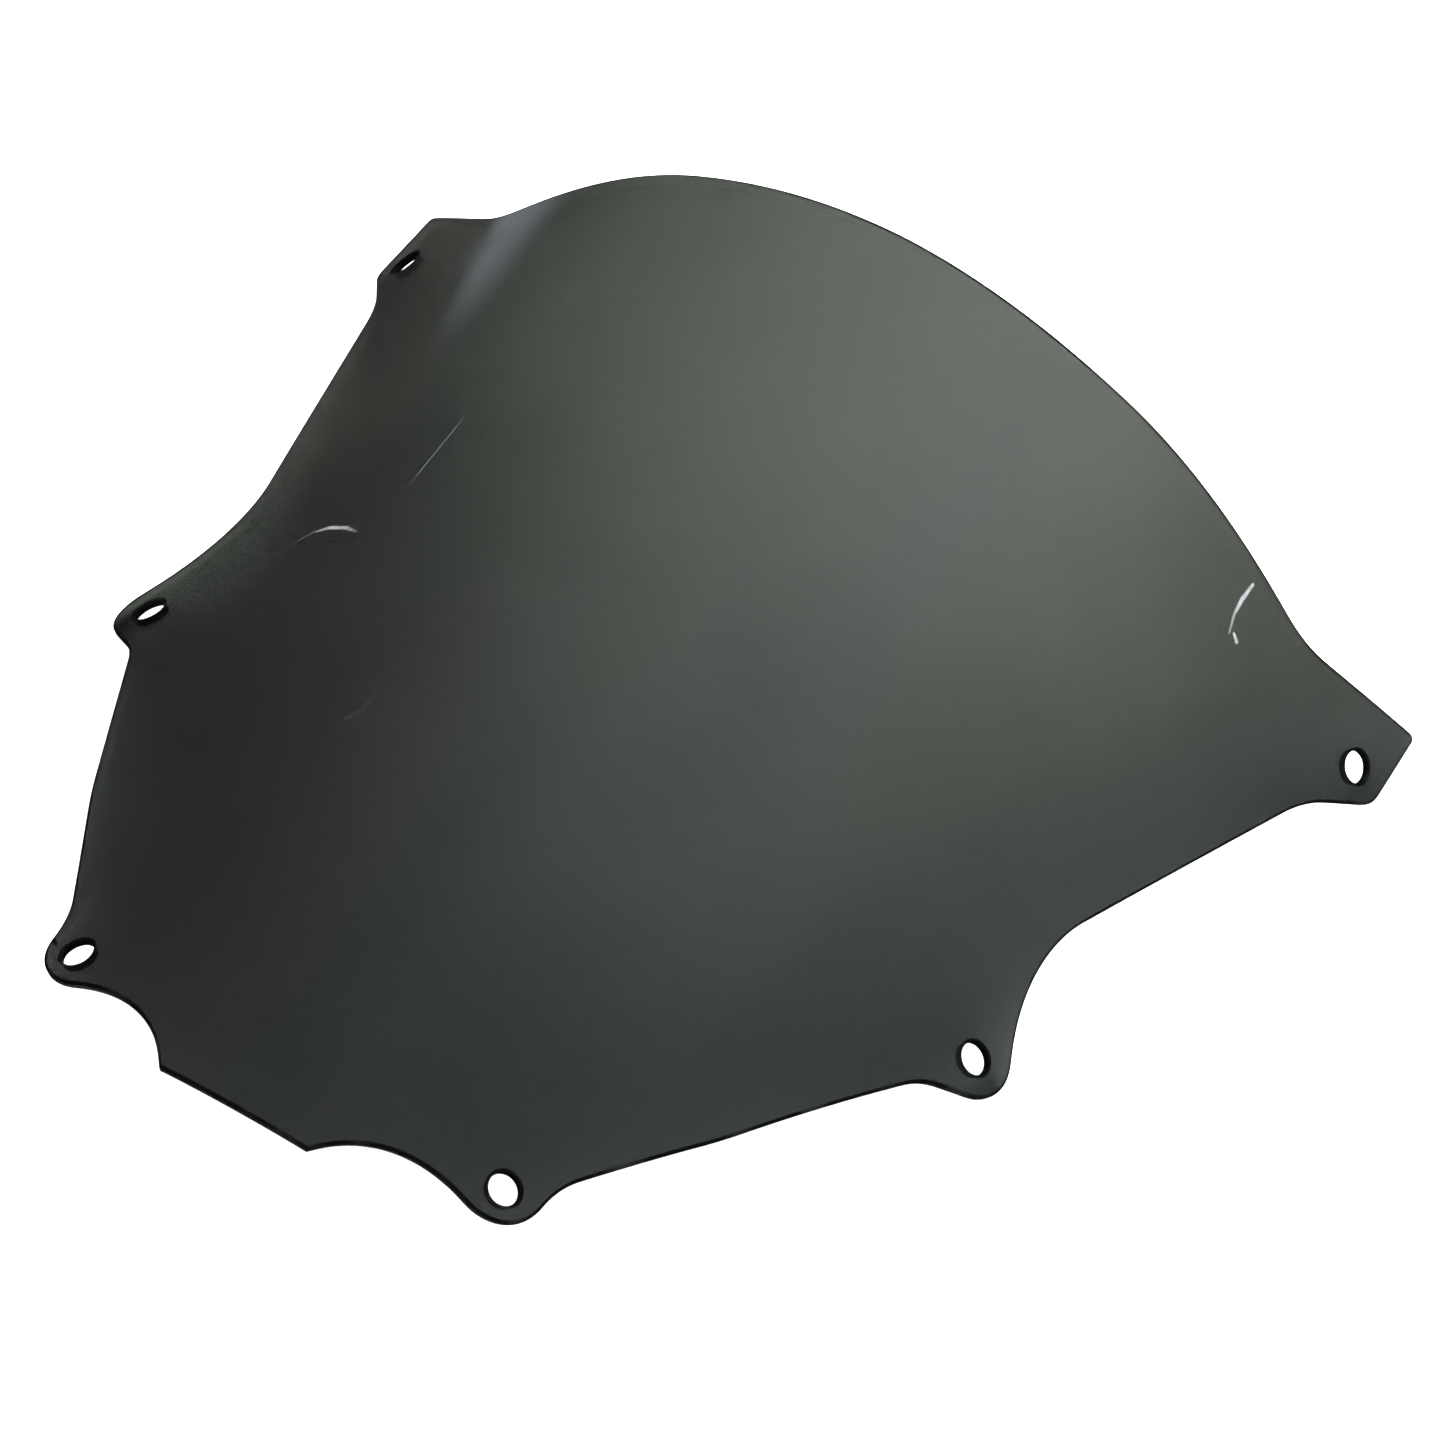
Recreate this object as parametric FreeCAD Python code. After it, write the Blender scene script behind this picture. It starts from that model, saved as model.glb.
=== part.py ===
import FreeCAD, Part
import math
import os

# Motorcycle windscreen: one thermoformed acrylic sheet with six fixing holes.
# It is drawn with its fixing flange level, x across, y from the nose (-) to the rider's side (+),
# z up, and is then set down on its lowest points. All lengths are in millimetres.

# Sheet
SHEET_THICKNESS = 2.5
HOLE_DIAMETER = 10.0
HOLE_PLACES = {"rear": (173.0, 81.0), "middle": (146.0, -111.5), "front": (73.5, -269.0)}

# Ridge: the highest line of the bubble, from the nose to the tail
NOSE_Y = -303.0
TAIL_Y = 46.0
RIDGE_LENGTH = TAIL_Y - NOSE_Y
RIDGE_NOSE_HEIGHT = 45.5
RIDGE_TAIL_HEIGHT = 163.0
RIDGE_NOSE_SLOPE = 0.38
RIDGE_TAIL_SLOPE = 0.375

# Crown: the arched middle of the bubble, given by its radius at the ridge
CROWN_NOSE_RADIUS = 104.0
CROWN_TAIL_RADIUS = 99.7

# Crease: where the crown meets the flatter side wings
CREASE_NOSE_HALF_WIDTH = 74.0
CREASE_SPREAD = 0.3155
CREASE_SPREAD_Y = -145.0
CREASE_SPREAD_BEND = 46.5
CREASE_NOSE_SOFTNESS = 13.3
CREASE_TAIL_SOFTNESS = 4.9

# Wings: how steeply they fall outside the crease
WING_NOSE_SLOPE = 0.35
WING_TAIL_SLOPE = 1.14

# Outline seen from above, right half, from the nose to the tail: corner x, corner y, corner radius
HALF_OUTLINE = [
    (25.4, -303.2, 0.0),     # sharp corner of the nose edge
    (42.5, -280.9, 51.0),    # scallop beside the nose
    (84.3, -280.5, 17.0),    # lobe of the front hole
    (84.3, -256.0, 38.0),
    (110.2, -203.5, 250.0),
    (139.4, -133.0, 30.0),
    (160.0, -112.5, 17.5),   # lobe of the middle hole
    (139.5, -73.7, 74.0),    # waist
    (168.5, 55.5, 80.0),
    (181.6, 80.9, 14.0),     # ear of the rear hole
    (179.8, 108.8, 0.6),     # rear corner of the ear
    (146.0, 80.2, 38.0),
    (39.5, 46.4, 245.0),     # tail edge
]
NOSE_BOW = (0.0, -306.3, 178.0)

# Grid that carries the formed surface
GRID_HALF_WIDTH = 200.0
GRID_FRONT_Y = -325.0
GRID_BACK_Y = 125.0
GRID_COLUMNS = 81
GRID_ROWS = 61

# Tilt about x that sets the sheet down on the middle lobes and the ears
REST_TILT_DEGREES = -2.25


def ridge_height(t):
    """Height of the ridge, a cubic with a set height and slope at the nose (t = 0) and tail (t = 1)."""
    nose = RIDGE_NOSE_HEIGHT * (2 * t**3 - 3 * t**2 + 1) + RIDGE_NOSE_SLOPE * RIDGE_LENGTH * (t**3 - 2 * t**2 + t)
    tail = RIDGE_TAIL_HEIGHT * (3 * t**2 - 2 * t**3) + RIDGE_TAIL_SLOPE * RIDGE_LENGTH * (t**3 - t**2)
    return nose + tail


def crease_half_width(y):
    """Half the width between the two creases, which spread towards the tail."""
    beyond = y - CREASE_SPREAD_Y
    return CREASE_NOSE_HALF_WIDTH + CREASE_SPREAD * (beyond + math.hypot(beyond, CREASE_SPREAD_BEND)) / 2


def surface_height(x, y):
    """Height of the outer surface: a parabolic crown that bends into a straight wing at the crease."""
    t = (y - NOSE_Y) / RIDGE_LENGTH
    curvature = 0.5 / (CROWN_NOSE_RADIUS + (CROWN_TAIL_RADIUS - CROWN_NOSE_RADIUS) * t)
    crease = crease_half_width(y)
    wing_slope = WING_NOSE_SLOPE + (WING_TAIL_SLOPE - WING_NOSE_SLOPE) * t
    softness = CREASE_NOSE_SOFTNESS * (CREASE_TAIL_SOFTNESS / CREASE_NOSE_SOFTNESS) ** t
    outside = softness * math.log1p(math.exp((abs(x) - crease) / softness))
    bend = 2 * curvature * crease - wing_slope
    return ridge_height(t) - curvature * (x**2 - outside**2) + bend * outside


def surface_normal(x, y):
    """Outward unit normal of the outer surface."""
    step = 0.5
    slope_x = (surface_height(x + step, y) - surface_height(x - step, y)) / (2 * step)
    slope_y = (surface_height(x, y + step) - surface_height(x, y - step)) / (2 * step)
    return FreeCAD.Vector(-slope_x, -slope_y, 1).normalize()


def formed_face():
    """The outer surface, larger than the finished sheet, facing up."""
    columns = []
    for i in range(GRID_COLUMNS):
        x = GRID_HALF_WIDTH * (2 * i / (GRID_COLUMNS - 1) - 1)
        column = []
        for j in range(GRID_ROWS):
            y = GRID_FRONT_Y + (GRID_BACK_Y - GRID_FRONT_Y) * j / (GRID_ROWS - 1)
            column.append(FreeCAD.Vector(x, y, surface_height(x, y)))
        columns.append(column)
    surface = Part.BSplineSurface()
    surface.interpolate(columns)
    return surface.toShape()


def whole_outline():
    """Corners of the whole outline, the right half and its mirror image."""
    left_half = [(-x, y, radius) for x, y, radius in reversed(HALF_OUTLINE)]
    return [NOSE_BOW] + HALF_OUTLINE + left_half


def rounded_wire(corners):
    """Closed wire of straight edges and tangent arcs, in the plane z = 0."""
    stops = []
    count = len(corners)
    for index, (x, y, radius) in enumerate(corners):
        corner = FreeCAD.Vector(x, y, 0)
        before = (FreeCAD.Vector(*corners[index - 1][:2], 0) - corner).normalize()
        after = (FreeCAD.Vector(*corners[(index + 1) % count][:2], 0) - corner).normalize()
        half_angle = before.getAngle(after) / 2
        reach = radius / math.tan(half_angle)
        middle = corner + (before + after).normalize() * (radius / math.sin(half_angle) - radius)
        stops.append((corner + before * reach, middle, corner + after * reach, radius))
    edges = []
    for index, (start, middle, end, radius) in enumerate(stops):
        if radius > 0:
            edges.append(Part.Arc(start, middle, end).toShape())
        next_start = stops[(index + 1) % count][0]
        if end.distanceToPoint(next_start) > 0.01:
            edges.append(Part.LineSegment(end, next_start).toShape())
    return Part.Wire(Part.__sortEdges__(edges))


def trimmed_sheet():
    """The sheet cut to its outline, with its thickness inside the outer surface."""
    cutter = Part.Face(rounded_wire(whole_outline())).extrude(FreeCAD.Vector(0, 0, 400))
    cutter.translate(FreeCAD.Vector(0, 0, -100))
    outer = formed_face().common(cutter).Faces[0]
    return outer.makeOffsetShape(-SHEET_THICKNESS, 0.01, fill=True)


def hole_places():
    """Places of all six holes on the outer surface, with their outward normals."""
    places = {}
    for name, (x, y) in HOLE_PLACES.items():
        for side, sign in (("left", -1), ("right", 1)):
            point = FreeCAD.Vector(sign * x, y, surface_height(x, y))
            places[name + "_" + side] = (point, surface_normal(sign * x, y))
    return places


def drilled(sheet):
    """The sheet with its six holes, each square to the surface."""
    depth = 4 * SHEET_THICKNESS
    for point, normal in hole_places().values():
        drill = Part.makeCylinder(HOLE_DIAMETER / 2, 2 * depth, point - normal * depth, normal)
        sheet = sheet.cut(drill)
    return sheet


def resting_placement(sheet):
    """Placement that stands the sheet on z = 0, with the middle of its box over the origin."""
    tilt = FreeCAD.Rotation(FreeCAD.Vector(1, 0, 0), REST_TILT_DEGREES)
    tilted = sheet.transformGeometry(FreeCAD.Placement(FreeCAD.Vector(), tilt).toMatrix())
    box = tilted.optimalBoundingBox(False)
    return FreeCAD.Placement(FreeCAD.Vector(0, -box.Center.y, -box.ZMin), tilt)


os.makedirs("parts", exist_ok=True)
screen = drilled(trimmed_sheet()).Solids[0]
rest = resting_placement(screen)
screen.Placement = rest
screen.exportStep("parts/windscreen.step")

print("box", screen.optimalBoundingBox(False))
print("volume", round(screen.Volume), "valid", screen.isValid(), "faces", len(screen.Faces))
print("design frame origin", rest.Base)
for name, (point, normal) in hole_places().items():
    middle = rest.multVec(point - normal * (SHEET_THICKNESS / 2))
    print(name, "hole, middle", middle, "axis", rest.Rotation.multVec(normal))
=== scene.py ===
from collections import namedtuple
import math

import bpy
from mathutils import Matrix, Vector
from mathutils.geometry import delaunay_2d_cdt


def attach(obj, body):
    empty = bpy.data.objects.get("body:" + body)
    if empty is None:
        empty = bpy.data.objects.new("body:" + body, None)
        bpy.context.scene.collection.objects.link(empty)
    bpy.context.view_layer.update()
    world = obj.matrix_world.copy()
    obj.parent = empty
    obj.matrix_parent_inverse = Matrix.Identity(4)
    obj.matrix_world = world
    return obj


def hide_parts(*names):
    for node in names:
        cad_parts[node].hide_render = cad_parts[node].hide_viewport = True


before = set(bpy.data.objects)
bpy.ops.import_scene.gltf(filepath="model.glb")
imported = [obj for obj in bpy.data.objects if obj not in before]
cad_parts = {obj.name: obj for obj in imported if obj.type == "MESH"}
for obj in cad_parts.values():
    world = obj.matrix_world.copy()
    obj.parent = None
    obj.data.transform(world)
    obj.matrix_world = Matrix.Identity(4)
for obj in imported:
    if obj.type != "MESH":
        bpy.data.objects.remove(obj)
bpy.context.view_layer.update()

# The windscreen's design sizes, in millimetres: x across, y from the nose (-) to the tail (+), z up.
THICKNESS = 2.5
EDGE_ROUNDING = 0.5
HOLE_RADIUS = 5.0
HOLE_PLACES = {"rear": (173.0, 81.0), "middle": (146.0, -111.5), "front": (73.5, -269.0)}
REST_TILT = math.radians(-2.25)

# Ridge, crown, crease and wings of the formed surface
NOSE_Y = -303.0
TAIL_Y = 46.0
RIDGE_LENGTH = TAIL_Y - NOSE_Y
RIDGE_NOSE_HEIGHT = 45.5
RIDGE_TAIL_HEIGHT = 163.0
RIDGE_NOSE_SLOPE = 0.38
RIDGE_TAIL_SLOPE = 0.375
CROWN_NOSE_RADIUS = 104.0
CROWN_TAIL_RADIUS = 99.7
CREASE_NOSE_HALF_WIDTH = 74.0
CREASE_SPREAD = 0.3155
CREASE_SPREAD_Y = -145.0
CREASE_SPREAD_BEND = 46.5
CREASE_NOSE_SOFTNESS = 13.3
CREASE_TAIL_SOFTNESS = 4.9
WING_NOSE_SLOPE = 0.35
WING_TAIL_SLOPE = 1.14

# Right half of the outline from the nose to the tail: corner x, corner y, corner radius
HALF_OUTLINE = [
    (25.4, -303.2, 0.0),     # sharp corner of the nose edge
    (42.5, -280.9, 51.0),    # scallop beside the nose
    (84.3, -280.5, 17.0),    # lobe of the front hole
    (84.3, -256.0, 38.0),
    (110.2, -203.5, 250.0),
    (139.4, -133.0, 30.0),
    (160.0, -112.5, 17.5),   # lobe of the middle hole
    (139.5, -73.7, 74.0),    # waist
    (168.5, 55.5, 80.0),
    (181.6, 80.9, 14.0),     # ear of the rear hole
    (179.8, 108.8, 1.0),     # rear corner of the ear
    (146.0, 80.2, 38.0),
    (39.5, 46.4, 245.0),     # tail edge
]
NOSE_BOW = (0.0, -306.3, 178.0)

# Where a cut edge looks dark: a band on the outer face beside it, the rounding, and the wall down to a
# depth. The band is painted shade: the face there is clear, and the band stands for the dark edge as it
# is seen through the sheet. The last number says how many strips of mesh across the edge that is. A
# drilled hole is dark right through. The outline's wall is clear further down, because the sheet bends
# the light: an edge seen through it looks about half as deep as it is.
EdgeLook = namedtuple("EdgeLook", "band dark_depth dark_steps")
OUTLINE_EDGE = EdgeLook(0.45, 0.8, 5)
HOLE_EDGE = EdgeLook(0.6, 1.25, 9)

# Material slots of the sheet
FACE = 0
# The dark edge material, also put on the outer face's band beside each edge as painted shade
EDGE_AND_SHADE_BAND = 1

# Mesh: the spacing of its points on the faces and along the outline, the number of points round a hole,
# and the angles, in degrees, that divide the rounding of an edge
FACE_STEP = 4.0
EDGE_STEP = 1.5
HOLE_POINTS = 48
EDGE_ANGLES = (0, 30, 60, 90)

# Part of the plan that the grid of face points covers
GRID_HALF_WIDTH = 200
GRID_FRONT_Y = -310
GRID_LENGTH = 440

# Acrylic: refractive index, and the share of light that each face passes when looked at straight on.
# Forming left the sheet a little uneven. The clarity is also painted: raised towards the tail edge as
# painted light, and lowered on the ears as painted shade. Each reach is where, in millimetres of the plan,
# that effect starts and where it is full.
ACRYLIC_INDEX = 1.49
FACE_CLARITY = 0.187
CLARITY_SPREAD = 0.004
TAIL_PAINTED_LIGHT = 0.02
TAIL_REACH = (-20, 50)
EAR_PAINTED_SHADE = 0.17
EAR_REACH_OUT = (80, 145)
EAR_REACH_BACK = (-25, 60)
TINT = (0.942, 1.0, 0.93, 1)
SMOKE = (0.001, 0.001, 0.001, 1)

# Finish: how glossy the faces and the cut edge are, and the least and most roughness of each
FACE_GLOSS = 0.7
FACE_ROUGHNESS = (0.04, 0.1)
EDGE_GLOSS = 0.08
EDGE_ROUGHNESS = (0.15, 0.35)
WORN_EDGE = (0.012, 0.012, 0.012, 1)

# Unevenness of the faces: the width and the height of its lumps, in millimetres
FORMING_WAVES = (45.0, 0.05)
ORANGE_PEEL = (3.5, 0.0012)

# Scratches and scuffs: for each stroke the points it passes, as plan x, plan y, half width and strength
LONG_SCRATCH = [(-91, -76, 0.25, 0.1), (-91, -62, 0.35, 0.55), (-91, -46, 0.35, 0.5), (-91, -32, 0.25, 0.1)]
FAINT_SCRATCH = [(-88.4, 4, 0.3, 0.1), (-87.5, 8, 0.4, 0.3), (-86, 14, 0.3, 0.1)]
BOWED_SCUFF = [
    (-138, -110, 0.7, 0.02), (-127, -102, 0.8, 0.02), (-116, -88, 0.9, 0.03),
    (-111.5, -83.5, 0.9, 0.12), (-107, -83, 1.2, 0.6), (-101, -85, 1.1, 0.5), (-95, -89, 0.6, 0.03),
]
COMMA_SCUFF = [(128, 69, 0.8, 0.9), (128, 63, 1.2, 1.0), (128.6, 58, 0.8, 0.6), (130.2, 53.5, 0.6, 0.4)]
CHIP = [(131.2, 55.2, 0.7, 1.0), (132.8, 55, 0.9, 1.0)]
CRESCENT = [(-49.5, -172, 2.0, 0.02), (-46.5, -168.5, 1.2, 0.02), (-47.5, -160, 0.6, 0.01)]
LOBE_SMEAR = [(-80.5, -262, 3.0, 0.01), (-82, -246, 1.5, 0.015)]
HOLE_CRACK = [(72.2, -273.6, 0.25, 0.6), (70.4, -280.5, 0.2, 0.3), (69.5, -284, 0.15, 0.2)]
PALE_STROKES = [
    LONG_SCRATCH, FAINT_SCRATCH, BOWED_SCUFF, COMMA_SCUFF, CHIP, CRESCENT, LOBE_SMEAR, HOLE_CRACK,
]
EAR_CRACK = [(178, 80.5, 0.2, 0.6), (182, 82.5, 0.2, 0.5)]
GRIME = [(-63, 49, 2.2, 0.25), (-60, 51.5, 1.5, 0.2)]

# Dark specks: plan x, plan y and radius. Dust: the spacing of its grains in millimetres, and the radius
# of the largest as a share of that spacing.
SPECKS = [
    (26, -205, 0.5), (155, 84, 0.4), (16, -12, 0.35),
    (15, -156, 0.35), (-93, -72.5, 0.5), (-37, -33, 0.35),
]
DUST_SPACING = 14.0
DUST_GRAIN = 0.022

# Fine wiping scratches: the turn of each set in radians, the length of its streaks and the gap between them.
# They add a little roughness, and a trace of the pale powder that fills the deeper scratches.
WIPES = ((0.5, 45.0, 0.35), (-0.35, 60.0, 0.3), (1.3, 30.0, 0.4))
WIPE_ROUGHNESS = 0.1
WIPE_POWDER = 0.003
POWDER = (0.2, 0.205, 0.21, 1)

# Floor: a wide white plane just under the sheet. It glows a little, which keeps the shadows on it faint.
FLOOR_HALF_SIZE = 12.0
FLOOR_GAP = 0.0002
FLOOR_PAINT = (0.86, 0.86, 0.86, 1)
FLOOR_GLOW = 0.35

# Soft light from all round, and lamps that point at the sheet: name, place, size and power. What shows
# through the sheet is the floor they light: bright and open beyond the tail, shaded under the nose.
AMBIENT = (2.3, 2.3, 2.3, 1)
LAMP_TARGET = (0, 0.1, 0)
LAMPS = [
    ("back_overhead", (0.0, 1.2, 2.2), (3.0, 3.0), 120),
    ("back_low", (-0.3, 2.6, 1.2), (3.0, 1.5), 410),
    ("right", (2.2, 0.2, 1.2), (1.5, 1.5), 42),
]

# The room's soft panels, as the sheet mirrors them. Angles are in degrees, and azimuth 0 is towards the
# nose. A panel's sides and its two ends blur, and a negative lean tips its top towards higher azimuths.
Panel = namedtuple("Panel", "azimuth elevation half_width half_height lean side_blur end_blur colour")
PANELS = [
    Panel(100, 60, 20, 30, 0, 8, 12, (0.06, 0.05, 0.09)),                  # high on the right
    Panel(140, 30, 16, 25, 0, 6, 10, (0.14, 0.18, 0.23)),                  # beside the right wing
    Panel(116.9, 25, 3.4, 20, 0, 0.6, 8, (0.16, 0.15, 0.115)),             # upright one on the right
    Panel(0, 40, 50, 20, 0, 10, 10, (0.35, 0.35, 0.36)),                   # broad one over the nose
    Panel(180, 80, 35, 25, 0, 12, 12, (0.0, 0.01, 0.04)),                  # sky-blue ceiling
    Panel(-118, 45, 18, 18, 0, 10, 10, (0.05, 0.03, 0.04)),                # high on the left
    Panel(-119, 9, 5, 13, 0, 4, 8, (0.02, 0.02, 0.018)),                   # dim one on the left
    Panel(-133.7, -13, 4.9, 7.5, -26, 0.8, 4, (0.05, 0.046, 0.042)),       # low dim one
    Panel(-128.97, -22.7, 4.05, 7.0, -26, 0.3, 4.25, (0.42, 0.48, 0.56)),  # low bright one, in the crease
]

# Where the design frame's origin comes to lie when the sheet rests, in metres
DESIGN_ORIGIN = Vector((0.0, 0.0966, -0.0210))

# Camera: it looks at the design origin from this direction, and leans to the left. Its distance and reach
# are in metres, its lens and sensor in millimetres.
CAMERA_BACK = Vector((0.274, -0.7104, 0.6482))
CAMERA_UP = Vector((-0.4556, 0.4977, 0.7380))
CAMERA_DISTANCE = 3.674
CAMERA_REACH = 100.0
CAMERA_LENS = 299.0
CAMERA_SENSOR = 36.0


def ridge_height(t):
    """Height of the ridge, a cubic with a set height and slope at the nose (t = 0) and tail (t = 1)."""
    heights = RIDGE_NOSE_HEIGHT * (2 * t**3 - 3 * t**2 + 1) + RIDGE_TAIL_HEIGHT * (3 * t**2 - 2 * t**3)
    slopes = RIDGE_NOSE_SLOPE * (t**3 - 2 * t**2 + t) + RIDGE_TAIL_SLOPE * (t**3 - t**2)
    return heights + RIDGE_LENGTH * slopes


def crease_half_width(y):
    """Half the width between the two creases, which spread towards the tail."""
    beyond = y - CREASE_SPREAD_Y
    return CREASE_NOSE_HALF_WIDTH + CREASE_SPREAD * (beyond + math.hypot(beyond, CREASE_SPREAD_BEND)) / 2


def surface_height(x, y):
    """Height of the outer surface: a parabolic crown that bends into a straight wing at the crease."""
    t = (y - NOSE_Y) / RIDGE_LENGTH
    curvature = 0.5 / (CROWN_NOSE_RADIUS + (CROWN_TAIL_RADIUS - CROWN_NOSE_RADIUS) * t)
    crease = crease_half_width(y)
    wing_slope = WING_NOSE_SLOPE + (WING_TAIL_SLOPE - WING_NOSE_SLOPE) * t
    softness = CREASE_NOSE_SOFTNESS * (CREASE_TAIL_SOFTNESS / CREASE_NOSE_SOFTNESS) ** t
    outside = softness * math.log1p(math.exp((abs(x) - crease) / softness))
    bend = 2 * curvature * crease - wing_slope
    return ridge_height(t) - curvature * (x**2 - outside**2) + bend * outside


def surface_point(x, y):
    """The outer surface's point above a place in plan."""
    return Vector((x, y, surface_height(x, y)))


def surface_normal(x, y):
    """Outward unit normal of the outer surface."""
    step = 0.5
    slope_x = (surface_height(x + step, y) - surface_height(x - step, y)) / (2 * step)
    slope_y = (surface_height(x, y + step) - surface_height(x, y - step)) / (2 * step)
    return Vector((-slope_x, -slope_y, 1)).normalized()


def evenly(start, end, step):
    """Points from start up to end, but without end itself."""
    count = max(1, round((end - start).length / step))
    return [start.lerp(end, k / count) for k in range(count)]


def rounded_outline():
    """Points of the whole outline in plan, anticlockwise: straight edges joined by tangent arcs."""
    left_half = [(-x, y, radius) for x, y, radius in reversed(HALF_OUTLINE)]
    corners = [NOSE_BOW] + HALF_OUTLINE + left_half
    stops = []
    for index, (x, y, radius) in enumerate(corners):
        corner = Vector((x, y))
        before = (Vector(corners[index - 1][:2]) - corner).normalized()
        after = (Vector(corners[(index + 1) % len(corners)][:2]) - corner).normalized()
        half_angle = before.angle(after) / 2
        reach = radius / math.tan(half_angle)
        centre = corner + (before + after).normalized() * (radius / math.sin(half_angle))
        stops.append((corner + before * reach, centre, corner + after * reach, radius))
    points = []
    for index, (start, centre, end, radius) in enumerate(stops):
        if radius > 0:
            sweep = (start - centre).angle_signed(end - centre)
            count = max(3, round(abs(sweep) * radius / EDGE_STEP))
            for k in range(count):
                turn = Matrix.Rotation(-sweep * k / count, 2)
                points.append(centre + turn @ (start - centre))
        points += evenly(end, stops[(index + 1) % len(stops)][0], EDGE_STEP)
    return points


def hole_outline(x, y):
    """Points of a hole's edge in plan, clockwise: a circle about the normal, moved onto the surface."""
    middle = surface_point(x, y)
    normal = surface_normal(x, y)
    across = normal.orthogonal().normalized()
    along = normal.cross(across)
    points = []
    for k in range(HOLE_POINTS):
        angle = -2 * math.pi * k / HOLE_POINTS
        point = middle + (across * math.cos(angle) + along * math.sin(angle)) * HOLE_RADIUS
        for _ in range(3):
            point += normal * ((surface_height(point.x, point.y) - point.z) / normal.z)
        points.append(point.to_2d())
    return points


def edge_profile(look):
    """Steps across a cut edge: how far out, how far down, and its facing in degrees from the normal."""
    upper = [(-EDGE_ROUNDING - look.band, 0, 0)]
    lower = []
    for angle in EDGE_ANGLES:
        out = EDGE_ROUNDING * (math.sin(math.radians(angle)) - 1)
        down = EDGE_ROUNDING * (math.cos(math.radians(angle)) - 1)
        upper.append((out, down, angle))
        lower.append((out, -THICKNESS - down, 180 - angle))
    return upper + [(0, -look.dark_depth, 90)] + lower[::-1]


def edge_rings(loop, look):
    """Rings of points and normals across the cut edge, from the outer face round to the inner face."""
    profile = edge_profile(look)
    rings = [[] for _ in profile]
    for index, here in enumerate(loop):
        before, after = loop[index - 1], loop[(index + 1) % len(loop)]
        normal = surface_normal(*here)
        travel = surface_point(*after) - surface_point(*before)
        outward = travel.cross(normal).normalized()
        for ring, (out, down, degrees) in zip(rings, profile):
            angle = math.radians(degrees)
            place = surface_point(*here) + outward * out + normal * down
            ring.append((place, normal * math.cos(angle) + outward * math.sin(angle)))
    return rings


def inside(point, loop):
    """True if a point in plan lies inside a closed loop."""
    crossings = 0
    for index, a in enumerate(loop):
        b = loop[index - 1]
        if (a.y > point.y) != (b.y > point.y):
            crossings += point.x < a.x + (b.x - a.x) * (point.y - a.y) / (b.y - a.y)
    return crossings % 2 == 1


def nearest(point, loop):
    """Distance in plan from a point to the nearest point of a loop."""
    return min((point - other).length for other in loop)


def face_points(outline, holes):
    """A staggered grid of points on the face, clear of its edges."""
    points = []
    rows = math.ceil(GRID_LENGTH / FACE_STEP)
    columns = math.ceil(GRID_HALF_WIDTH / FACE_STEP)
    for row in range(rows):
        y = GRID_FRONT_Y + row * FACE_STEP
        for column in range(-columns, columns + 1):
            point = Vector(((column + 0.5 * (row % 2)) * FACE_STEP, y))
            on_sheet = inside(point, outline) and not any(inside(point, hole) for hole in holes)
            if on_sheet and all(nearest(point, loop) > FACE_STEP / 2 for loop in [outline] + holes):
                points.append(point)
    return points


class SheetMesh:
    """Points, normals and faces of the sheet as they are collected."""

    def __init__(self):
        self.points = []
        self.normals = []
        self.faces = []
        self.materials = []

    def add_point(self, place, normal):
        self.points.append(place)
        self.normals.append(normal)
        return len(self.points) - 1

    def add_face(self, corners, material):
        self.faces.append(corners)
        self.materials.append(material)


def add_edge_strips(sheet, loop, look):
    """The strips of mesh across one edge. Returns the points at the outer and at the inner face's rim."""
    rings = [[sheet.add_point(*item) for item in ring] for ring in edge_rings(loop, look)]
    for step, (upper, lower) in enumerate(zip(rings, rings[1:])):
        # The dark strips include the band on the outer face, which is painted shade
        material = EDGE_AND_SHADE_BAND if step < look.dark_steps else FACE
        for k in range(len(loop)):
            j = (k + 1) % len(loop)
            sheet.add_face((upper[k], lower[k], lower[j], upper[j]), material)
    return rings[0], rings[-1]


def triangulated(plan_loops):
    """Points and triangles in plan between the outline, the first loop, and the holes. The loops' own
    points come first."""
    plan = [point for loop in plan_loops for point in loop]
    edges = []
    for loop in plan_loops:
        first = len(edges)
        edges += [(first + k, first + (k + 1) % len(loop)) for k in range(len(loop))]
    plan += face_points(plan_loops[0], plan_loops[1:])
    made, originals = delaunay_2d_cdt(plan, edges, [], 1, 1e-6)[2:4]
    triangles = []
    for triangle in made:
        corners = [originals[k][0] for k in triangle]
        middle = sum((plan[k] for k in corners), Vector((0, 0))) / 3
        if not any(inside(middle, hole) for hole in plan_loops[1:]):
            triangles.append(corners)
    return plan, triangles


def build_sheet():
    """The whole sheet: both faces from one plan triangulation, joined round the outline and the holes."""
    sheet = SheetMesh()
    outline = rounded_outline()
    holes = [hole_outline(side * x, y) for x, y in HOLE_PLACES.values() for side in (-1, 1)]
    outer, inner, plan_loops = [], [], []
    for loop in [outline] + holes:
        look = OUTLINE_EDGE if loop is outline else HOLE_EDGE
        outer_rim, inner_rim = add_edge_strips(sheet, loop, look)
        outer += outer_rim
        inner += inner_rim
        plan_loops.append([sheet.points[k].to_2d() for k in outer_rim])
    plan, triangles = triangulated(plan_loops)
    for point in plan[len(outer):]:
        place, normal = surface_point(*point), surface_normal(*point)
        outer.append(sheet.add_point(place, normal))
        inner.append(sheet.add_point(place - normal * THICKNESS, -normal))
    for corners in triangles:
        sheet.add_face([outer[k] for k in corners], FACE)
        sheet.add_face([inner[k] for k in reversed(corners)], FACE)
    return sheet


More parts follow.
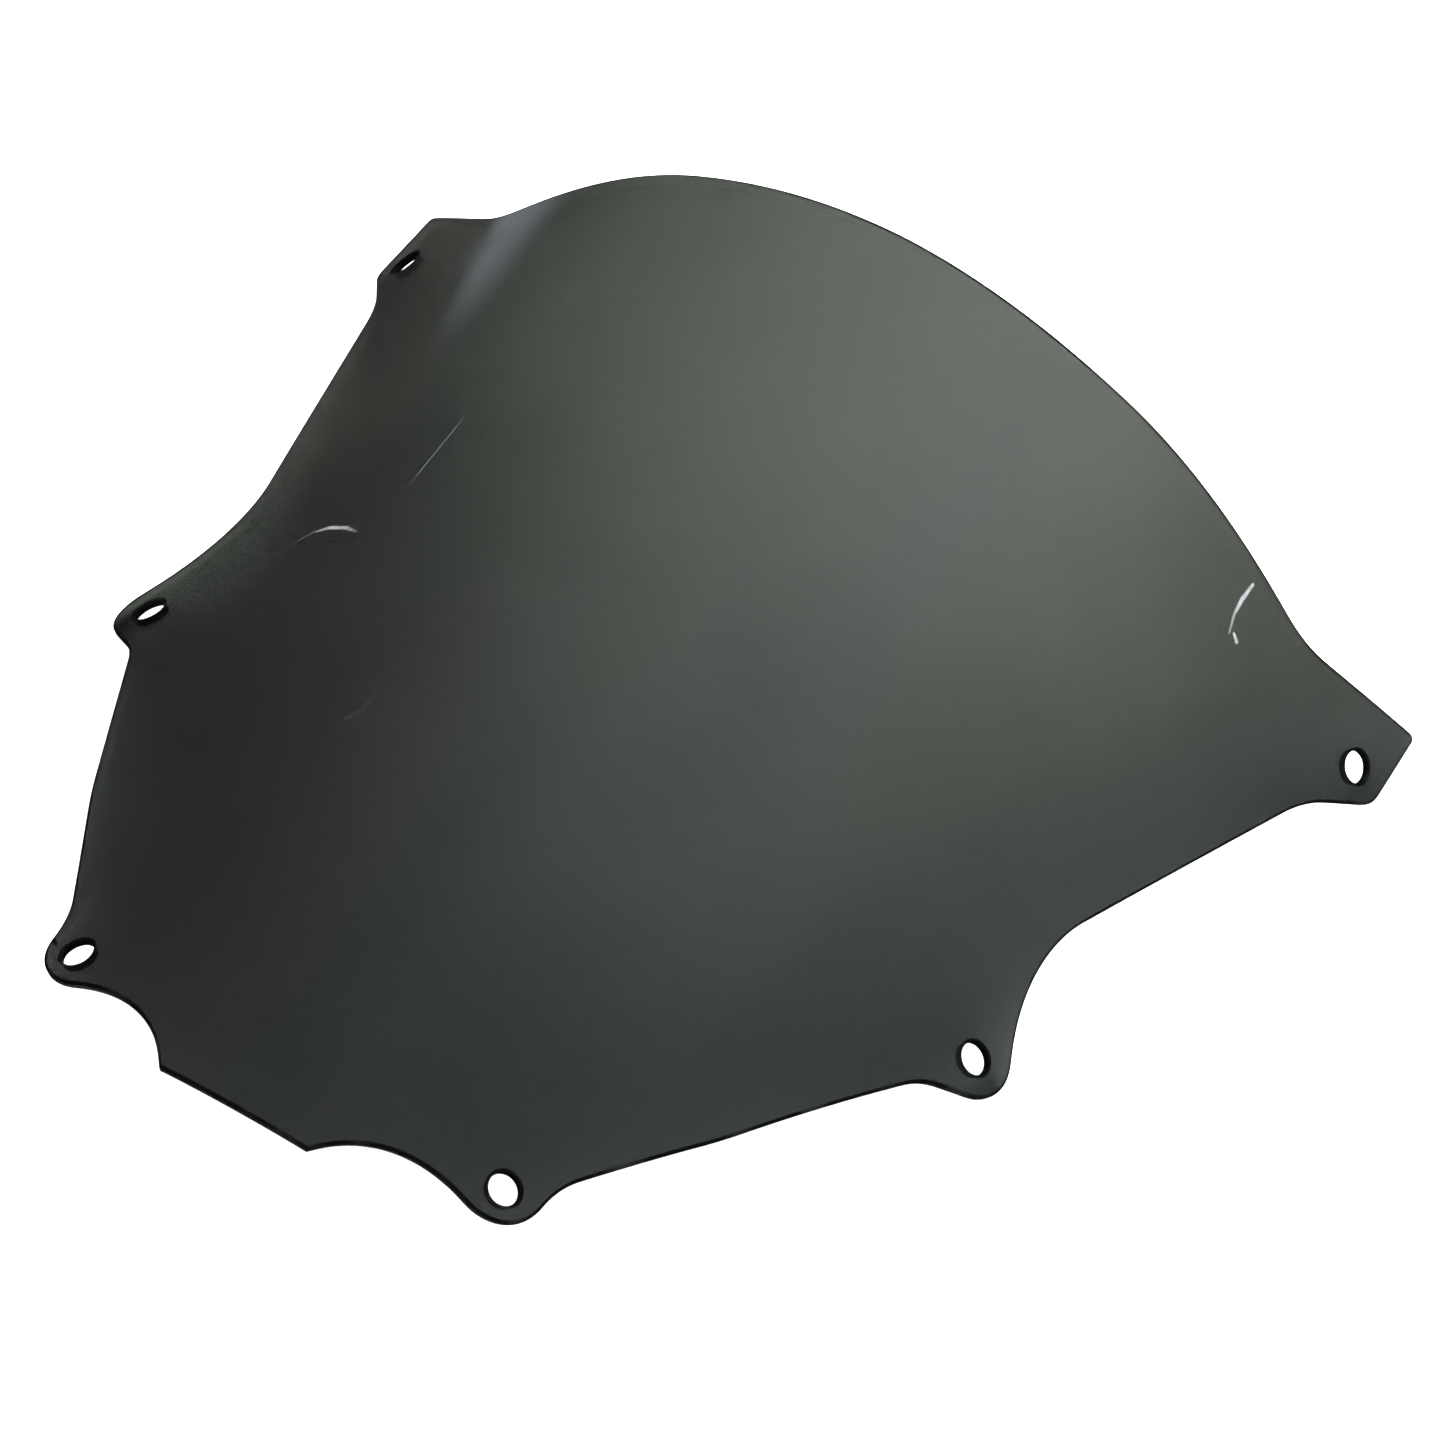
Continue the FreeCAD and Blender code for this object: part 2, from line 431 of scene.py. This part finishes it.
def resting(sheet):
    """The sheet's points and normals in the frame: tilted, stood on z = 0 and centred, in metres."""
    tilt = Matrix.Rotation(REST_TILT, 3, "X")
    points = [tilt @ point for point in sheet.points]
    normals = [tilt @ normal for normal in sheet.normals]
    back = max(point.y for point in points)
    front = min(point.y for point in points)
    bottom = min(point.z for point in points)
    shift = Vector((0, -(front + back) / 2, -bottom))
    return [(point + shift) / 1000 for point in points], normals


def make_windscreen():
    """The sheet as one mesh object with its own normals."""
    sheet = build_sheet()
    points, normals = resting(sheet)
    mesh = bpy.data.meshes.new("windscreen_sheet")
    mesh.from_pydata(points, [], sheet.faces)
    mesh.polygons.foreach_set("material_index", sheet.materials)
    mesh.polygons.foreach_set("use_smooth", [True] * len(sheet.faces))
    mesh.normals_split_custom_set_from_vertices(normals)
    piece = bpy.data.objects.new("windscreen_sheet", mesh)
    bpy.context.scene.collection.objects.link(piece)
    return piece


def add(tree, kind, inputs=(), **settings):
    """A new shader node with its settings and inputs; an input is a value or another node's output."""
    node = tree.nodes.new(kind)
    for name, value in settings.items():
        setattr(node, name, value)
    for name, value in dict(inputs).items():
        if isinstance(value, bpy.types.NodeSocket):
            tree.links.new(value, node.inputs[name])
        else:
            node.inputs[name].default_value = value
    return node


def new_material(name):
    """An empty material and its node tree."""
    material = bpy.data.materials.new(name)
    material.use_nodes = True
    material.node_tree.nodes.clear()
    return material, material.node_tree


def math_node(tree, operation, *values, clamp=False):
    """The result of a sum on values or other nodes' outputs."""
    node = add(tree, "ShaderNodeMath", dict(enumerate(values)), operation=operation, use_clamp=clamp)
    return node.outputs[0]


def vector_node(tree, operation, *values):
    """The result of a vector operation."""
    node = add(tree, "ShaderNodeVectorMath", dict(enumerate(values)), operation=operation)
    return node.outputs["Value"] if operation in ("DOT_PRODUCT", "DISTANCE") else node.outputs[0]


def ramp(tree, value, start, end, low=0.0, high=1.0):
    """A smooth step from low, where the value is start, to high, where it is end."""
    limits = {"Value": value, "From Min": start, "From Max": end, "To Min": low, "To Max": high}
    return add(tree, "ShaderNodeMapRange", limits, interpolation_type="SMOOTHSTEP").outputs[0]


def noise(tree, place, grain, detail=2.0):
    """Noise between 0 and 1 with lumps of about the given size in millimetres."""
    settings = {"Vector": place, "Scale": 1 / grain, "Detail": detail}
    return add(tree, "ShaderNodeTexNoise", settings).outputs["Fac"]


def design_place(tree):
    """The shaded point in the design frame, in millimetres."""
    place = add(tree, "ShaderNodeTexCoord").outputs["Object"]
    settings = {
        "Vector": place, "Location": DESIGN_ORIGIN, "Rotation": (REST_TILT, 0, 0), "Scale": (0.001,) * 3,
    }
    return add(tree, "ShaderNodeMapping", settings, vector_type="TEXTURE").outputs[0]


def stroke(tree, place, start, end):
    """How strongly a tapered stroke between two of its points shows at a place."""
    first = surface_point(*start[:2])
    along = surface_point(*end[:2]) - first
    offset = vector_node(tree, "SUBTRACT", place, first)
    share = vector_node(tree, "DOT_PRODUCT", offset, along / along.length_squared)
    share = math_node(tree, "ADD", share, 0.0, clamp=True)
    closest = add(tree, "ShaderNodeVectorMath", {0: along, "Scale": share}, operation="SCALE").outputs[0]
    distance = vector_node(tree, "DISTANCE", offset, closest)
    half_width = math_node(tree, "MULTIPLY_ADD", share, end[2] - start[2], start[2])
    strength = math_node(tree, "MULTIPLY_ADD", share, end[3] - start[3], start[3])
    nearness = ramp(tree, math_node(tree, "DIVIDE", distance, half_width), 1.0, 0.3)
    return math_node(tree, "MULTIPLY", nearness, strength)


def strokes(tree, place, paths):
    """The strongest of all the strokes along the given paths."""
    total = 0.0
    for path in paths:
        for start, end in zip(path, path[1:]):
            total = math_node(tree, "MAXIMUM", total, stroke(tree, place, start, end))
    return total


def specks(tree, place):
    """Dark dirt specks: a few large ones in known places, and fine dust all over."""
    total = 0.0
    for x, y, radius in SPECKS:
        distance = vector_node(tree, "DISTANCE", place, surface_point(x, y))
        total = math_node(tree, "MAXIMUM", total, ramp(tree, distance, radius, 0.6 * radius, high=0.8))
    cells = add(tree, "ShaderNodeTexVoronoi", {"Vector": place, "Scale": 1 / DUST_SPACING})
    chosen = add(tree, "ShaderNodeSeparateColor", {0: cells.outputs["Color"]}).outputs[0]
    size = ramp(tree, chosen, 0.6, 1.0, high=DUST_GRAIN)
    dust = math_node(tree, "LESS_THAN", cells.outputs["Distance"], size)
    return math_node(tree, "MULTIPLY_ADD", dust, 0.5, total, clamp=True)


def hairlines(tree, place):
    """Fine wiping scratches in three directions, each a thin, long streak of noise."""
    total = 0.0
    for turn, length, gap in WIPES:
        settings = {"Vector": place, "Rotation": (0, 0, turn), "Scale": (1 / length, 1 / gap, 1 / length)}
        stretched = add(tree, "ShaderNodeMapping", settings).outputs[0]
        streak = add(tree, "ShaderNodeTexNoise", {"Vector": stretched, "Scale": 1.0, "Detail": 1.0})
        total = math_node(tree, "MAXIMUM", total, ramp(tree, streak.outputs["Fac"], 0.71, 0.8))
    patches = ramp(tree, noise(tree, place, 55.0), 0.42, 0.62)
    return math_node(tree, "MULTIPLY", total, patches)


def face_clarity_and_painted_light(tree, place):
    """Share of light that one face lets by straight on: uneven at random from forming, with painted light
    towards the tail edge and painted shade on the ears.
    """
    uneven = noise(tree, place, 70.0)
    clarity = ramp(tree, uneven, 0.25, 0.75, FACE_CLARITY - CLARITY_SPREAD, FACE_CLARITY + CLARITY_SPREAD)
    x, y, _ = add(tree, "ShaderNodeSeparateXYZ", {0: place}).outputs
    # Painted light towards the tail edge and painted shade on the ears, as a gain on the clarity
    tail = ramp(tree, y, *TAIL_REACH)
    outwards = ramp(tree, math_node(tree, "ABSOLUTE", x), *EAR_REACH_OUT)
    ear = math_node(tree, "MULTIPLY", outwards, ramp(tree, y, *EAR_REACH_BACK))
    light_and_shade = math_node(tree, "MULTIPLY_ADD", tail, TAIL_PAINTED_LIGHT, 1.0)
    light_and_shade = math_node(tree, "MULTIPLY_ADD", ear, -EAR_PAINTED_SHADE - TAIL_PAINTED_LIGHT, light_and_shade)
    return math_node(tree, "MULTIPLY", clarity, light_and_shade)


def through_sheet(tree, place):
    """Share of light that one face lets by: tinted more where the sheet is crossed at a slant."""
    facing = add(tree, "ShaderNodeLayerWeight", {"Blend": 0.5}).outputs["Facing"]
    cosine = math_node(tree, "SUBTRACT", 1.0, facing)
    square = math_node(tree, "MULTIPLY", cosine, cosine)
    # Snell's law: the squared sine inside the sheet is (1 - cosine squared) / index squared
    bend = 1 / ACRYLIC_INDEX**2
    inner = math_node(tree, "MULTIPLY_ADD", square, bend, 1 - bend)
    path = math_node(tree, "POWER", inner, -0.5)
    return math_node(tree, "POWER", face_clarity_and_painted_light(tree, place), path)


def formed_surface(tree, place):
    """Bump of the formed sheet: long soft waves from forming, and a fine orange peel."""
    height = 0.0
    for width, rise in (FORMING_WAVES, ORANGE_PEEL):
        height = math_node(tree, "MULTIPLY_ADD", noise(tree, place, width, 1.0), rise, height)
    return add(tree, "ShaderNodeBump", {"Strength": 1.0, "Distance": 0.001, "Height": height}).outputs[0]


def smoked_acrylic():
    """Tinted clear sheet, scuffed and dusty: each face passes part of the light and mirrors a little."""
    material, tree = new_material("smoked_acrylic_sheet")
    place = design_place(tree)
    scratched = hairlines(tree, place)
    polish = ramp(tree, noise(tree, place, 28.0, 4.0), 0.35, 0.7, *FACE_ROUGHNESS)
    roughness = math_node(tree, "MULTIPLY_ADD", scratched, WIPE_ROUGHNESS, polish)
    body = add(tree, "ShaderNodeBsdfPrincipled", {
        "Base Color": SMOKE, "Roughness": roughness, "IOR": ACRYLIC_INDEX,
        "Specular IOR Level": FACE_GLOSS, "Normal": formed_surface(tree, place),
    })
    clear = add(tree, "ShaderNodeBsdfTransparent", {"Color": TINT})
    dirt = math_node(tree, "MAXIMUM", specks(tree, place), strokes(tree, place, [EAR_CRACK, GRIME]))
    clean = math_node(tree, "SUBTRACT", 1.0, dirt)
    share = math_node(tree, "MULTIPLY", through_sheet(tree, place), clean)
    sheet = add(tree, "ShaderNodeMixShader", {0: share, 1: body.outputs[0], 2: clear.outputs[0]})
    broken = ramp(tree, noise(tree, place, 1.2, 3.0), 0.3, 0.6, 0.55, 1.0)
    scuffed = math_node(tree, "MULTIPLY", strokes(tree, place, PALE_STROKES), broken)
    scuffed = math_node(tree, "MULTIPLY_ADD", scratched, WIPE_POWDER, scuffed)
    powder = add(tree, "ShaderNodeBsdfPrincipled", {"Base Color": POWDER, "Roughness": 0.7})
    worn = add(tree, "ShaderNodeMixShader", {0: scuffed, 1: sheet.outputs[0], 2: powder.outputs[0]})
    add(tree, "ShaderNodeOutputMaterial", {"Surface": worn.outputs[0]})
    return material


def cut_edge_and_shade_band():
    """Sawn and scraped edge, nearly black because little light gets along the sheet, with saw marks. It also
    colours the band on the outer face beside each edge: painted shade.
    """
    material, tree = new_material("smoked_acrylic_edge_and_shade_band")
    place = design_place(tree)
    saw_marks = noise(tree, place, 0.5, 3.0)
    worn = ramp(tree, noise(tree, place, 12.0, 4.0), 0.5, 0.75)
    colour = add(tree, "ShaderNodeMix", {
        0: math_node(tree, "MULTIPLY", worn, saw_marks), 6: SMOKE, 7: WORN_EDGE,
    }, data_type="RGBA").outputs[2]
    roughness = ramp(tree, saw_marks, 0.3, 0.7, *EDGE_ROUGHNESS)
    bump = {"Strength": 0.5, "Distance": 0.00005, "Height": saw_marks}
    grooves = add(tree, "ShaderNodeBump", bump).outputs[0]
    body = add(tree, "ShaderNodeBsdfPrincipled", {
        "Base Color": colour, "Roughness": roughness, "Specular IOR Level": EDGE_GLOSS, "Normal": grooves,
    })
    add(tree, "ShaderNodeOutputMaterial", {"Surface": body.outputs[0]})
    return material


def make_floor():
    """The pale floor. It belongs to the studio, and the sheet doesn't mirror it."""
    mesh = bpy.data.meshes.new("floor")
    size = FLOOR_HALF_SIZE
    corners = [(-size, -size, 0), (size, -size, 0), (size, size, 0), (-size, size, 0)]
    mesh.from_pydata(corners, [], [(0, 1, 2, 3)])
    floor = bpy.data.objects.new("floor", mesh)
    bpy.context.scene.collection.objects.link(floor)
    floor.location.z = -FLOOR_GAP
    material, tree = new_material("pale_floor")
    paint = add(tree, "ShaderNodeBsdfPrincipled", {
        "Base Color": FLOOR_PAINT, "Roughness": 0.9,
        "Emission Color": (1, 1, 1, 1), "Emission Strength": FLOOR_GLOW,
    })
    add(tree, "ShaderNodeOutputMaterial", {"Surface": paint.outputs[0]})
    mesh.materials.append(material)
    floor.visible_glossy = False


def area_light(name, place, target, size, power):
    """A rectangular soft lamp that points at a target."""
    data = bpy.data.lights.new(name, "AREA")
    data.shape = "RECTANGLE"
    data.size, data.size_y = size
    data.energy = power
    light = bpy.data.objects.new(name, data)
    light.location = place
    light.rotation_mode = "QUATERNION"
    light.rotation_quaternion = (Vector(target) - Vector(place)).to_track_quat("-Z", "Y")
    bpy.context.scene.collection.objects.link(light)
    return light


def sine(degrees):
    return math.sin(math.radians(degrees))


def glow(tree, direction, panel):
    """How brightly a soft panel shines towards a direction."""
    turn, rise = math.radians(panel.azimuth), math.radians(panel.elevation)
    middle = Vector((math.sin(turn) * math.cos(rise), -math.cos(turn) * math.cos(rise), math.sin(rise)))
    level = Vector((math.cos(turn), math.sin(turn), 0))
    lean = Matrix.Rotation(math.radians(panel.lean), 3, middle)
    share = math_node(tree, "GREATER_THAN", vector_node(tree, "DOT_PRODUCT", direction, middle), 0.0)
    sides = (lean @ level, panel.half_width, panel.side_blur)
    ends = (lean @ middle.cross(level), panel.half_height, panel.end_blur)
    for axis, half_size, blur in (sides, ends):
        offset = math_node(tree, "ABSOLUTE", vector_node(tree, "DOT_PRODUCT", direction, axis))
        within = ramp(tree, offset, sine(half_size + blur), sine(half_size - blur))
        share = math_node(tree, "MULTIPLY", share, within)
    return share


def studio_world():
    """Even soft light all round. What the sheet mirrors instead is a dark room with soft panels."""
    world = bpy.data.worlds.new("studio")
    world.use_nodes = True
    tree = world.node_tree
    tree.nodes.clear()
    direction = add(tree, "ShaderNodeTexCoord").outputs["Generated"]
    mirrored = (0, 0, 0)
    for panel in PANELS:
        settings = {0: panel.colour, "Scale": glow(tree, direction, panel)}
        shine = add(tree, "ShaderNodeVectorMath", settings, operation="SCALE").outputs[0]
        mirrored = vector_node(tree, "ADD", mirrored, shine)
    glossy = add(tree, "ShaderNodeLightPath").outputs["Is Glossy Ray"]
    colour = add(tree, "ShaderNodeMix", {0: glossy, 6: AMBIENT, 7: mirrored}, data_type="RGBA").outputs[2]
    background = add(tree, "ShaderNodeBackground", {"Color": colour})
    add(tree, "ShaderNodeOutputWorld", {"Surface": background.outputs[0]})
    bpy.context.scene.world = world


def light_scene():
    """The soft light and the lamps. The sheet doesn't mirror the lamps."""
    studio_world()
    for name, place, size, power in LAMPS:
        lamp = area_light(name, place, LAMP_TARGET, size, power)
        lamp.visible_glossy = False
    bpy.context.scene.view_settings.view_transform = "Standard"


def make_camera():
    """The camera at the scene's main viewing angle."""
    camera = bpy.data.objects.new("camera", bpy.data.cameras.new("camera"))
    bpy.context.scene.collection.objects.link(camera)
    camera.data.lens = CAMERA_LENS
    camera.data.sensor_width = CAMERA_SENSOR
    camera.data.clip_end = CAMERA_REACH
    back = CAMERA_BACK.normalized()
    right = CAMERA_UP.cross(back).normalized()
    up = back.cross(right)
    turn = Matrix((right, up, back)).transposed()
    camera.matrix_world = Matrix.Translation(DESIGN_ORIGIN + back * CAMERA_DISTANCE) @ turn.to_4x4()
    bpy.context.scene.camera = camera


windscreen = make_windscreen()
windscreen.data.materials.append(smoked_acrylic())
windscreen.data.materials.append(cut_edge_and_shade_band())
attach(windscreen, "root")
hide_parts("windscreen")
make_floor()
light_scene()
make_camera()
